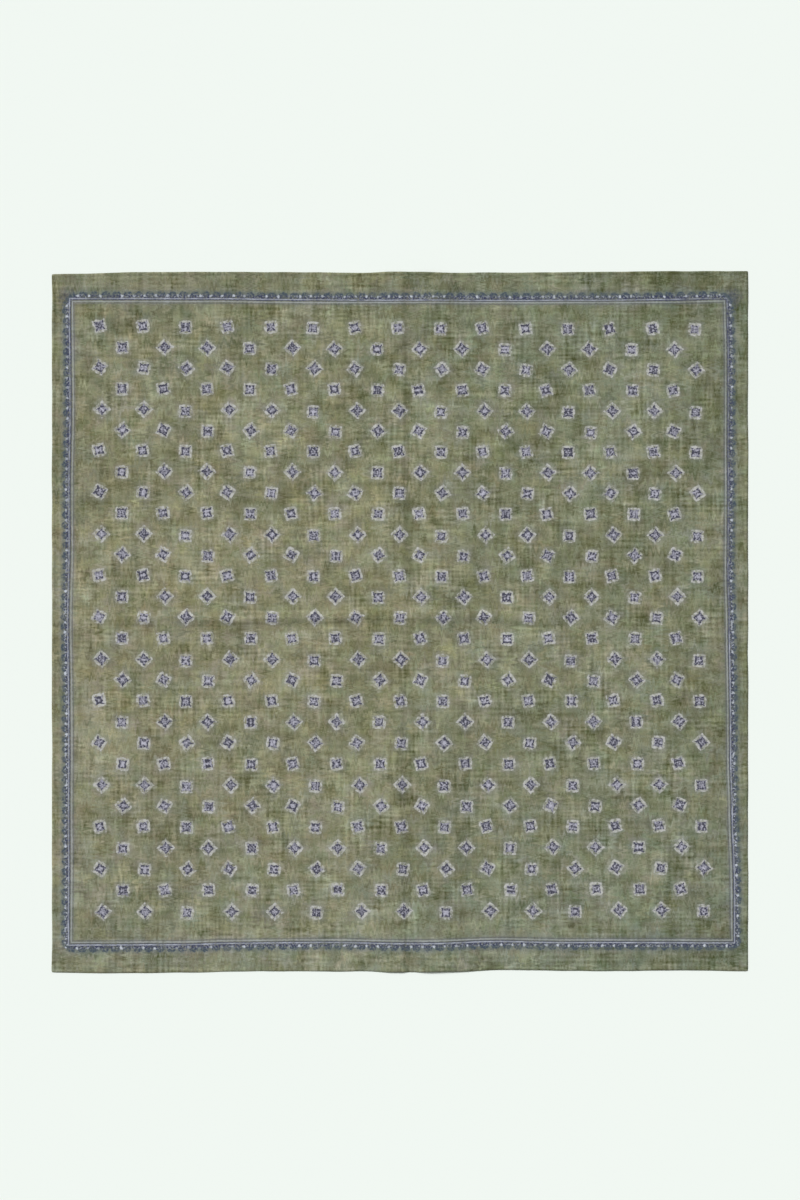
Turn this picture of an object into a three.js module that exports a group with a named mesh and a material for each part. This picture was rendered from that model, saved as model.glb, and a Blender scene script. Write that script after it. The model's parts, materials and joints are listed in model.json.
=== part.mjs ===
// A square cotton scarf that was folded in four, pressed, and laid open again on a flat surface.
// It is one piece of cloth with a narrow rolled hem. Two fold marks cross at its middle. The one
// down the cloth is a valley between two low swells. The one across it is a ridge on the left,
// which dies away and turns over to a faint valley on the right. Elsewhere the cloth lies flat on
// the surface, apart from a few broad swells.
//
// Millimetres, +Z up, +Y towards the far edge. The origin is on the surface, under the middle.

import * as THREE from 'three';

// Driving sizes of the cloth
const CLOTH_WIDTH = 600;
const CLOTH_LENGTH = 605.2;
const CLOTH_THICKNESS = 1.2;
const HEM_WIDTH = 3;
const HEM_RISE = 0.6;

const HALF_WIDTH = CLOTH_WIDTH / 2;
const HALF_LENGTH = CLOTH_LENGTH / 2;

// How far the far and near edges fall short of half the length, from the left side to the right
const EDGE_LINES = [
  { x: -300, far: 2.6, near: 1.0 },
  { x: -270, far: 2.3, near: 0.0 },
  { x: -230, far: 1.0, near: 0.0 },
  { x: -185, far: 0.8, near: 0.5 },
  { x: -120, far: 0.8, near: 1.7 },
  { x: -30, far: 1.4, near: 1.4 },
  { x: 0, far: 0.5, near: 0.8 },
  { x: 45, far: 1.6, near: 1.2 },
  { x: 90, far: 1.4, near: 2.6 },
  { x: 160, far: 0.8, near: 1.8 },
  { x: 240, far: 0.2, near: 2.3 },
  { x: 300, far: 0.0, near: 1.7 },
];

// The fold mark down the cloth: where it meets the far and near edges, how high the cloth swells
// beside it, and how far from the mark that swell has its top
const DOWN_FOLD = { xFar: 3.4, xNear: 0.9, rise: 1.3, reach: 12 };
const DOWN_FOLD_STRENGTH = [
  { y: -303, strength: 0.8 },
  { y: -230, strength: 1.0 },
  { y: -170, strength: 0.6 },
  { y: -110, strength: 1.0 },
  { y: -60, strength: 0.5 },
  { y: -10, strength: 0.2 },
  { y: 25, strength: 0.4 },
  { y: 60, strength: 1.0 },
  { y: 120, strength: 0.9 },
  { y: 165, strength: 0.7 },
  { y: 220, strength: 1.0 },
  { y: 303, strength: 0.9 },
];

// The fold mark across the cloth: its line, the height of the ridge, and half the ridge's width.
// Where its strength is below zero the fold is a valley.
const ACROSS_FOLD = { yLeft: 1.7, yRight: 0.4, rise: 1.5, reach: 13 };
const ACROSS_FOLD_STRENGTH = [
  { x: -300, strength: 0.4 },
  { x: -265, strength: 0.3 },
  { x: -215, strength: 0.5 },
  { x: -160, strength: 1.0 },
  { x: -60, strength: 1.0 },
  { x: -10, strength: 0.6 },
  { x: 60, strength: 0.8 },
  { x: 110, strength: 0.2 },
  { x: 150, strength: -0.4 },
  { x: 200, strength: -0.2 },
  { x: 250, strength: 0.0 },
  { x: 300, strength: 0.2 },
];

// Broad low swells: the middle of each, its half length and half width, how far it is turned
// from the cloth's width, and its height
const SWELLS = [
  { x: 48, y: 62, long: 95, wide: 34, turn: 50, rise: 0.9 },
  { x: 225, y: 215, long: 80, wide: 46, turn: -40, rise: 1.2 },
  { x: -232, y: -70, long: 88, wide: 50, turn: 75, rise: 1.1 },
  { x: -262, y: 262, long: 60, wide: 40, turn: 35, rise: 0.9 },
  { x: 236, y: -168, long: 62, wide: 38, turn: 60, rise: 0.8 },
  { x: -120, y: 232, long: 70, wide: 34, turn: -20, rise: 0.6 },
  { x: -110, y: -225, long: 76, wide: 36, turn: 25, rise: 0.7 },
  { x: 96, y: -255, long: 58, wide: 34, turn: -65, rise: 0.7 },
];

// Cloth that would stand less than this off the surface lies on it
const SETTLE = 0.12;

// Grid lines of the cloth: beside a fold mark, inside the hem, and about this far apart between
const FOLD_LINE_OFFSETS = [0, 4, 8, 13, 20, 30];
const GRID_STEP = 21;

const { clamp, degToRad, lerp, mapLinear, smoothstep } = THREE.MathUtils;

// A column of a table, eased from row to row, at a place between the rows
function eased(table, placeName, place, column) {
  const held = clamp(place, table[0][placeName], table[table.length - 1][placeName]);
  const next = Math.max(1, table.findIndex((row) => row[placeName] >= held));
  const from = table[next - 1];
  const to = table[next];
  const share = smoothstep(held, from[placeName], to[placeName]);
  return lerp(from[column], to[column], share);
}

// One at the middle, zero at one reach away and beyond, smooth all the way
function bell(away) {
  return (1 + Math.cos(Math.PI * Math.min(away, 1))) / 2;
}

// Zero at the middle, one at one reach away, and dying out further off
function besideValley(away) {
  return away * Math.exp(1 - away);
}

function downFoldX(y) {
  return mapLinear(y, -HALF_LENGTH, HALF_LENGTH, DOWN_FOLD.xNear, DOWN_FOLD.xFar);
}

function acrossFoldY(x) {
  return mapLinear(x, -HALF_WIDTH, HALF_WIDTH, ACROSS_FOLD.yLeft, ACROSS_FOLD.yRight);
}

function downFoldRise(x, y) {
  const strength = eased(DOWN_FOLD_STRENGTH, 'y', y, 'strength');
  const away = Math.abs(x - downFoldX(y)) / DOWN_FOLD.reach;
  return DOWN_FOLD.rise * strength * besideValley(away);
}

function acrossFoldRise(x, y) {
  const strength = eased(ACROSS_FOLD_STRENGTH, 'x', x, 'strength');
  const away = Math.abs(y - acrossFoldY(x)) / ACROSS_FOLD.reach;
  const shape = strength < 0 ? besideValley(away) : bell(away);
  return ACROSS_FOLD.rise * Math.abs(strength) * shape;
}

function swellRise(swell, x, y) {
  const turn = degToRad(swell.turn);
  const dx = x - swell.x;
  const dy = y - swell.y;
  const alongSwell = dx * Math.cos(turn) + dy * Math.sin(turn);
  const acrossSwell = dy * Math.cos(turn) - dx * Math.sin(turn);
  return swell.rise * bell(Math.hypot(alongSwell / swell.long, acrossSwell / swell.wide));
}

// Height of the cloth's underside over the surface
function clothRise(x, y) {
  let rise = downFoldRise(x, y) + acrossFoldRise(x, y);
  for (const swell of SWELLS) {
    rise += swellRise(swell, x, y);
  }
  return Math.max(0, rise - SETTLE);
}

// The rolled hem is thickest halfway across its width
function hemRise(fromEdge) {
  return HEM_RISE * Math.sin(Math.PI * clamp(fromEdge / HEM_WIDTH, 0, 1));
}

// Grid lines from one side to the other, as distances from the fold mark when the cloth is square
function gridLines(half) {
  const lastFoldLine = FOLD_LINE_OFFSETS[FOLD_LINE_OFFSETS.length - 1];
  const hemLine = half - HEM_WIDTH;
  const steps = Math.ceil((hemLine - lastFoldLine) / GRID_STEP);
  const lines = [...FOLD_LINE_OFFSETS];
  for (let step = 1; step <= steps; step += 1) {
    lines.push(lerp(lastFoldLine, hemLine, step / steps));
  }
  lines.push(half - HEM_WIDTH / 2, half);
  const mirrored = lines.slice(1).reverse().map((line) => -line);
  return [...mirrored, ...lines];
}

// A point of the square grid, moved so that grid lines follow the fold marks and the two edges
function placeOnCloth(gridX, gridY) {
  const x = gridX + downFoldX(gridY) * (1 - Math.abs(gridX) / HALF_WIDTH);
  const edge = gridY < 0 ? 'near' : 'far';
  const reach = 1 - eased(EDGE_LINES, 'x', x, edge) / HALF_LENGTH;
  const y = gridY * reach + acrossFoldY(x) * (1 - Math.abs(gridY) / HALF_LENGTH);
  return { x, y };
}

function scarfGeometry() {
  const columns = gridLines(HALF_WIDTH);
  const rows = gridLines(HALF_LENGTH);
  const layerSize = columns.length * rows.length;
  const under = [];
  const over = [];
  for (const gridY of rows) {
    for (const gridX of columns) {
      const { x, y } = placeOnCloth(gridX, gridY);
      const rise = clothRise(x, y);
      const fromEdge = Math.min(HALF_WIDTH - Math.abs(gridX), HALF_LENGTH - Math.abs(gridY));
      under.push(x, y, rise);
      over.push(x, y, rise + CLOTH_THICKNESS + hemRise(fromEdge));
    }
  }

  const at = (column, row) => row * columns.length + column;
  const faces = [];
  const quad = (a, b, c, d) => faces.push(a, b, c, a, c, d);
  for (let row = 0; row < rows.length - 1; row += 1) {
    for (let column = 0; column < columns.length - 1; column += 1) {
      const a = at(column, row);
      const b = at(column + 1, row);
      const c = at(column + 1, row + 1);
      const d = at(column, row + 1);
      quad(a, d, c, b);
      quad(a + layerSize, b + layerSize, c + layerSize, d + layerSize);
    }
  }

  // The cut edge all round, joining the underside to the upper side
  const wall = (from, to) => quad(from, to, to + layerSize, from + layerSize);
  const lastColumn = columns.length - 1;
  const lastRow = rows.length - 1;
  for (let column = 0; column < lastColumn; column += 1) {
    wall(at(column, 0), at(column + 1, 0));
    wall(at(column + 1, lastRow), at(column, lastRow));
  }
  for (let row = 0; row < lastRow; row += 1) {
    wall(at(lastColumn, row), at(lastColumn, row + 1));
    wall(at(0, row + 1), at(0, row));
  }

  const geometry = new THREE.BufferGeometry();
  geometry.setAttribute('position', new THREE.Float32BufferAttribute([...under, ...over], 3));
  geometry.setIndex(faces);
  geometry.computeVertexNormals();
  return geometry;
}

function cottonMaterial() {
  return new THREE.MeshStandardMaterial({ color: 0x81826c, roughness: 0.95, metalness: 0 });
}

const scarf = new THREE.Mesh(scarfGeometry(), cottonMaterial());
scarf.name = 'scarf';

const part = new THREE.Group();
part.add(scarf);

export default part;
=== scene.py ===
"""A square cotton scarf with a small tossed print, laid open and flat on a pale surface.

The scarf was folded in four and pressed before it was opened out. What is left of that is a
trough down its middle, steep on its left and rising gently to a crown on its right, and a ridge
across it, which turns over to a shallow valley right of the middle and dies out there. The cloth
is one thin sheet with a rolled hem.

Lengths in the classes are millimetres, and Blender gets metres. +X is towards the right edge,
+Y towards the far edge, and +Z up.
"""

import json
import logging
import math
from dataclasses import dataclass, field, replace
from enum import Enum
from typing import Union

import bpy
import numpy as np
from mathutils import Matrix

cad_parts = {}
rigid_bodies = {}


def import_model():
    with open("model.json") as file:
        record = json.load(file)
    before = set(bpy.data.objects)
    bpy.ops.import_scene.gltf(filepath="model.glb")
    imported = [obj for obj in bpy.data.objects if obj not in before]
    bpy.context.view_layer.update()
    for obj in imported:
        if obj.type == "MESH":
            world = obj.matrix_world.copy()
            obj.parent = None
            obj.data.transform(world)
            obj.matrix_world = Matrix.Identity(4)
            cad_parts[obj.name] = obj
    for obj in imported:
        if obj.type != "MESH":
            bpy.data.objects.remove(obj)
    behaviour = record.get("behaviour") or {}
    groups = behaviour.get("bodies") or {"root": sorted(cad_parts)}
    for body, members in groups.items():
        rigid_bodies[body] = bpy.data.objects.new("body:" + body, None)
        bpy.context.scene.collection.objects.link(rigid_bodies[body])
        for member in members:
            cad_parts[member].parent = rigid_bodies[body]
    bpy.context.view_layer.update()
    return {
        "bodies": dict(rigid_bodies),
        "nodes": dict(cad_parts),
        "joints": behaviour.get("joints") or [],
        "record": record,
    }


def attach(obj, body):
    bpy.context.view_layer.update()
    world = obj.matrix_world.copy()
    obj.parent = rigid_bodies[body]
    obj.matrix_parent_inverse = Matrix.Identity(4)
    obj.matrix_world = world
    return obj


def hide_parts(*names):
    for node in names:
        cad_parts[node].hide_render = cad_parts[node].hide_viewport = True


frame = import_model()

Array = np.ndarray
Table = tuple[tuple[float, float], ...]

MM = 0.001
LIGHT_LEVEL = 1.02
SRGB_OFFSET = 0.055
SRGB_POWER = 2.4
NOISE_SPREAD = 0.14
NOISE_ROUGHNESS = 0.55
SEED_SHIFT = (17.3, 9.7)
MIX_UNDER, MIX_OVER, MIX_COLOUR = 6, 7, 2
ON_THE_RIM = 1e-9

log = logging.getLogger("scarf")


def eased(table: Table, place: Array) -> Array:
    """Reads a table of given values, eased from row to row.

    Args:
        table: Rows of a place and the value there, in order of place.
        place: The places to read it at.

    Returns:
        The value at each place, held at the first and last row beyond them.
    """
    places, values = np.array(table).T
    held = np.clip(place, places[0], places[-1])
    after = np.clip(np.searchsorted(places, held), 1, len(places) - 1)
    share = (held - places[after - 1]) / (places[after] - places[after - 1])
    share = share * share * (3 - 2 * share)
    return values[after - 1] + (values[after] - values[after - 1]) * share


def bell(away: Array) -> Array:
    """One at the middle, zero at one reach away and beyond, smooth all the way."""
    return (1 + np.cos(np.pi * np.minimum(np.abs(away), 1))) / 2


def hump(away: Array, before: float, beyond: float) -> Array:
    """A bell whose reach differs from one side of its middle to the other."""
    return bell(away / np.where(away < 0, before, beyond))


def put_in_scene(name: str, data: bpy.types.ID) -> bpy.types.Object:
    """Makes an object of a mesh, lamp or camera and puts it in the scene."""
    made = bpy.data.objects.new(name, data)
    bpy.context.scene.collection.objects.link(made)
    return made


@dataclass(frozen=True)
class Colour:
    """A colour as it is seen under the studio light, with parts from 0 to 255."""

    red: float
    green: float
    blue: float

    def own(self) -> tuple[float, float, float, float]:
        """The surface's own colour for a shader, in linear light."""
        raised = [part / 255 + SRGB_OFFSET for part in (self.red, self.green, self.blue)]
        return tuple((part / (1 + SRGB_OFFSET)) ** SRGB_POWER / LIGHT_LEVEL for part in raised) + (1.0,)


@dataclass(frozen=True)
class Edge:
    """A soft edge: where it lies, and half the width of the change there."""

    at: float
    soft: float


@dataclass(frozen=True)
class Line:
    """A line with soft edges: its middle, its half width, its edges and how well it covers."""

    middle: float
    half: float
    soft: float
    cover: float = 1.0


class Op(Enum):
    """The sums that a material's numbers go through."""

    ADD = "ADD"
    SUBTRACT = "SUBTRACT"
    MULTIPLY = "MULTIPLY"
    DIVIDE = "DIVIDE"
    LARGER = "MAXIMUM"
    SMALLER = "MINIMUM"
    SIZE = "ABSOLUTE"
    FLOOR = "FLOOR"
    CYCLE = "FLOORED_MODULO"
    OVER = "GREATER_THAN"
    ROOT = "SQRT"
    SINE = "SINE"
    COSINE = "COSINE"


@dataclass(frozen=True)
class Signal:
    """A number, place or colour on its way through a material."""

    graph: "NodeGraph"
    socket: bpy.types.NodeSocket

    def through(self, op: Op, other: "Value" = 0.0) -> "Signal":
        """Puts this number through a sum, with another where the sum has two."""
        return self.graph.sum(op, self, other)

    def __add__(self, other: "Value") -> "Signal":
        """The sum of two numbers."""
        return self.through(Op.ADD, other)

    def __radd__(self, other: float) -> "Signal":
        """The sum of two numbers."""
        return self.graph.sum(Op.ADD, other, self)

    def __sub__(self, other: "Value") -> "Signal":
        """This number less the other."""
        return self.through(Op.SUBTRACT, other)

    def __rsub__(self, other: float) -> "Signal":
        """The other number less this one."""
        return self.graph.sum(Op.SUBTRACT, other, self)

    def __mul__(self, other: "Value") -> "Signal":
        """The product of two numbers."""
        return self.through(Op.MULTIPLY, other)

    def __truediv__(self, other: "Value") -> "Signal":
        """This number over the other."""
        return self.through(Op.DIVIDE, other)

    def size(self) -> "Signal":
        """This number without its sign."""
        return self.through(Op.SIZE)

    def nearest(self) -> "Signal":
        """The whole number nearest to this one."""
        return (self + 0.5).through(Op.FLOOR)

    def larger(self, other: "Value") -> "Signal":
        """The larger of two numbers."""
        return self.through(Op.LARGER, other)

    def smaller(self, other: "Value") -> "Signal":
        """The smaller of two numbers."""
        return self.through(Op.SMALLER, other)

    def hypot(self, up: "Signal") -> "Signal":
        """The length of the line with these two sides."""
        return (self * self + up * up).through(Op.ROOT)

    def past(self, edge: Edge) -> "Signal":
        """Rises softly from zero to one as this number passes an edge."""
        feeds = {0: self - edge.at, 1: -edge.soft, 2: edge.soft}
        return self.graph.signal("ShaderNodeMapRange", feeds, interpolation_type="SMOOTHSTEP")

    def within(self, edge: Edge) -> "Signal":
        """Falls softly from one to zero as this number passes an edge."""
        return 1.0 - self.past(edge)

    def near(self, line: Line) -> "Signal":
        """How well a line covers where this number is the place across it."""
        return (self - line.middle).size().within(Edge(line.half, line.soft)) * line.cover

    def split(self) -> tuple["Signal", ...]:
        """The three numbers of a place or colour."""
        made = self.graph.node("ShaderNodeSeparateXYZ")
        self.graph.feed(made.inputs[0], self)
        return tuple(Signal(self.graph, output) for output in made.outputs)

    def tinted(self, *parts: "Value") -> "Signal":
        """Multiplies the three parts of a colour by these numbers."""
        feeds = {0: self, 1: self.graph.join(*parts)}
        return self.graph.signal("ShaderNodeVectorMath", feeds, operation="MULTIPLY")


Value = Union[Signal, Colour, float, tuple]


@dataclass
class NodeGraph:
    """Builds a material's nodes from sums and patterns."""

    tree: bpy.types.NodeTree

    def node(self, kind: str, **choices: object) -> bpy.types.Node:
        """Adds a node and sets its named choices.

        Args:
            kind: The node's Blender type.
            **choices: Its properties and their values.

        Returns:
            The new node.
        """
        made = self.tree.nodes.new(kind)
        for name, choice in choices.items():
            setattr(made, name, choice)
        return made

    def feed(self, socket: bpy.types.NodeSocket, value: Value) -> None:
        """Links a signal to a socket, or sets a plain value on it.

        Args:
            socket: The node's input.
            value: What it gets.
        """
        if isinstance(value, Signal):
            self.tree.links.new(value.socket, socket)
        else:
            socket.default_value = value.own() if isinstance(value, Colour) else value

    def feed_all(self, node: bpy.types.Node, feeds: dict[object, Value]) -> None:
        """Feeds a node's inputs by their numbers or names."""
        for name, value in feeds.items():
            self.feed(node.inputs[name], value)

    def signal(
        self, kind: str, feeds: dict[object, Value], output: Union[int, str] = 0, **choices: object
    ) -> Signal:
        """Adds a node, feeds its inputs and reads one of its outputs.

        Args:
            kind: The node's Blender type.
            feeds: What its inputs get, by their numbers or names.
            output: The number or name of the output to read.
            **choices: The node's properties and their values.

        Returns:
            The output.
        """
        made = self.node(kind, **choices)
        self.feed_all(made, feeds)
        return Signal(self, made.outputs[output])

    def sum(self, op: Op, first: Value, second: Value) -> Signal:
        """Puts two numbers through a sum."""
        return self.signal("ShaderNodeMath", {0: first, 1: second}, operation=op.value)

    def join(self, first: Value, second: Value, third: Value = 0.0) -> Signal:
        """Makes a place or colour of three numbers."""
        return self.signal("ShaderNodeCombineXYZ", {0: first, 1: second, 2: third})

    def mix(self, under: Value, over: Value, share: Value, held: bool = True) -> Signal:
        """Lays one colour over another by a share, which is kept from 0 to 1 if it is held."""
        feeds = {0: share, MIX_UNDER: under, MIX_OVER: over}
        return self.signal("ShaderNodeMix", feeds, MIX_COLOUR, data_type="RGBA", clamp_factor=held)

    def chance(self, place: Signal) -> tuple[Signal, ...]:
        """Three numbers from -1 to 1, drawn by chance and alike wherever the place is alike."""
        drawn = self.signal("ShaderNodeTexWhiteNoise", {"Vector": place}, "Color", noise_dimensions="2D")
        return tuple(number * 2.0 - 1.0 for number in drawn.split())

    def map(self, name: str) -> tuple[Signal, ...]:
        """The two numbers that one of the mesh's own maps holds at this place."""
        return self.signal("ShaderNodeUVMap", {}, uv_map=name).split()[:2]

    def attribute(self, name: str) -> tuple[Signal, ...]:
        """The three numbers that the mesh holds by this name at each of its points."""
        return self.signal("ShaderNodeAttribute", {}, "Vector", attribute_name=name).split()


@dataclass(frozen=True)
class Share:
    """A share that a pattern changes: its mean, and how much one of the pattern adds."""

    mean: float
    change: float

    def by(self, pattern: Signal) -> Signal:
        """The share where the pattern is this strong."""
        return pattern * self.change + self.mean


@dataclass(frozen=True)
class Grain:
    """A smooth random pattern that can be longer one way than the other.

    Across and down are about how long its marks are. The seed sets it apart from the others,
    and detail is how many finer patterns are laid into it.
    """

    across: float
    down: float
    seed: int
    strength: float = 1.0
    detail: int = 0

    def on(self, place: Signal) -> Signal:
        """Lays the pattern on the cloth.

        Args:
            place: The place on the cloth, in millimetres.

        Returns:
            A number that averages nought and mostly stays within two strengths of it.
        """
        feeds = {
            0: place,
            1: (1 / self.across, 1 / self.down, 0.0),
            2: (*(self.seed * shift for shift in SEED_SHIFT), 0.0),
        }
        scaled = place.graph.signal("ShaderNodeVectorMath", feeds, operation="MULTIPLY_ADD")
        feeds = {"Vector": scaled, "Scale": 1.0, "Detail": self.detail, "Roughness": NOISE_ROUGHNESS}
        made = place.graph.signal("ShaderNodeTexNoise", feeds, noise_dimensions="2D")
        layers = [NOISE_ROUGHNESS**layer for layer in range(self.detail + 1)]
        spread = NOISE_SPREAD * math.hypot(*layers) / sum(layers)
        return (made - 0.5) / spread * self.strength

    def crossing(self) -> "Grain":
        """The pattern's fellow, which runs the other way."""
        return replace(self, across=self.down, down=self.across, seed=self.seed + 1)

    def both_ways(self, place: Signal) -> Signal:
        """Lays the pattern on the cloth together with its fellow."""
        return self.on(place) + self.crossing().on(place)


class Run(Enum):
    """Which way a fold mark runs."""

    DOWN = "down"
    ACROSS = "across"


class FoldShape(Enum):
    """How the cloth stands at a fold mark."""

    RIDGE = "ridge"
    VALLEY = "valley"
    STEP = "step"
    TROUGH = "trough"


@dataclass(frozen=True)
class ShadeAndWear:
    """Where a fold mark's painted crease shade, partly wear, lies, in reaches: the middle, and the spread
    before and beyond it.
    """

    middle: float
    before: float
    beyond: float


@dataclass(frozen=True)
class FoldMark:
    """A mark that pressing left in the cloth, as uneven along its run as it really is.

    The line and strength tables go by the place along the mark. A valley lies between two low
    swells. A step rises gently on the near or left side of its line, and falls steeply on the
    other. A trough has a rim on its left, falls steeply there to its lowest line, and rises
    gently from that to a crown, which lies one reach to the right. Rim_share is the rim's
    height beside the crown's, and the sizes round it are in reaches.
    """

    run: Run
    shape: FoldShape
    rise: float
    reach: float
    # How much darker the cloth is made along the mark: painted shade of the crease, partly wear.
    shade_and_wear: float
    line: Table
    strength: Table
    # Where that painted crease shade, partly wear, lies across the mark.
    worn: ShadeAndWear = ShadeAndWear(0.0, 0.42, 0.42)
    step_start: float = 1.6
    rim_share: float = 0.6
    rim_reach: tuple[float, float] = (1.2, 0.29)
    crown_reach: tuple[float, float] = (0.66, 2.0)

    def sides(self, x: Array, y: Array) -> tuple[Array, Array]:
        """Places points by the mark.

        Args:
            x: Their places across the cloth.
            y: Their places down the cloth.

        Returns:
            The mark's strength beside each point, and how many reaches away from it that is.
        """
        along, across = (y, x) if self.run is Run.DOWN else (x, y)
        away = (across - eased(self.line, along)) / self.reach
        return eased(self.strength, along), away

    def height(self, x: Array, y: Array) -> Array:
        """How far the mark lifts the cloth.

        Args:
            x: The points' places across the cloth.
            y: Their places down the cloth.

        Returns:
            The lift at each point.
        """
        strength, away = self.sides(x, y)
        if self.shape is FoldShape.RIDGE:
            form = bell(away)
        elif self.shape is FoldShape.VALLEY:
            form = np.abs(away) * np.exp(1 - np.abs(away))
        elif self.shape is FoldShape.STEP:
            form = np.where(away < 0, bell(away / self.step_start), np.clip(1 - away, 0, 1) ** 2)
        else:
            form = self.rim_share * hump(away, *self.rim_reach) + hump(away - 1, *self.crown_reach)
        return self.rise * strength * form

    def shade(self, x: Array, y: Array) -> Array:
        """How much darker the cloth is along the mark: painted shade of the crease, partly its wear.

        Args:
            x: The points' places across the cloth.
            y: Their places down the cloth.

        Returns:
            The change of tone at each point, below zero where it is darker.
        """
        strength, away = self.sides(x, y)
        away = away - self.worn.middle
        fading = away / np.where(away < 0, self.worn.before, self.worn.beyond)
        return -self.shade_and_wear * strength * np.exp(-(fading**2))


@dataclass(frozen=True)
class Swell:
    """A broad oval on the cloth: a place that stands off the surface, or a patch of other tone.

    Turn is how far its length is turned from the cloth's width, in degrees, and rise is its
    height or its change of tone at the middle.
    """

    x: float
    y: float
    long: float
    wide: float
    turn: float
    rise: float

    def height(self, x: Array, y: Array) -> Array:
        """The swell's height, or the patch's change of tone.

        Args:
            x: The points' places across the cloth.
            y: Their places down the cloth.

        Returns:
            Its value at each point.
        """
        turn = math.radians(self.turn)
        dx, dy = x - self.x, y - self.y
        along = dx * math.cos(turn) + dy * math.sin(turn)
        across = dy * math.cos(turn) - dx * math.sin(turn)
        return self.rise * bell(np.hypot(along / self.long, across / self.wide))


@dataclass(frozen=True)
class Pucker:
    """Fine unevenness of soft cloth: waves of about one length that run every way."""

    wave: float
    height: float
    seed: int
    waves: int = 28
    spread: tuple[float, float] = (0.7, 1.5)

    def relief(self, x: Array, y: Array) -> Array:
        """Adds up the waves.

        Args:
            x: The points' places across the cloth.
            y: Their places down the cloth.

        Returns:
            The height at each point, about as often below nought as above it.
        """
        draw = np.random.default_rng(self.seed)
        relief = np.zeros_like(x)
        for _ in range(self.waves):
            way = draw.uniform(0, math.pi)
            pace = 2 * math.pi / (self.wave * draw.uniform(*self.spread))
            start = draw.uniform(0, 2 * math.pi)
            relief += np.sin(pace * (x * math.cos(way) + y * math.sin(way)) + start)
        return self.height * relief * math.sqrt(2 / self.waves)


@dataclass(frozen=True)
class InSquare:
    """Where a point of the cloth is in the nearest of the printed squares.

    Side and rise are its distances from the square's middle along the square's own two ways.
    Outer is the larger of them, with a ragged edge, and inner the smaller. Upright is one for
    a square that stands straight and nought for one on its corner.
    """

    side: Signal
    rise: Signal
    outer: Signal
    inner: Signal
    upright: Signal
    luck: tuple[Signal, ...]
    printed: Signal


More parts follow.
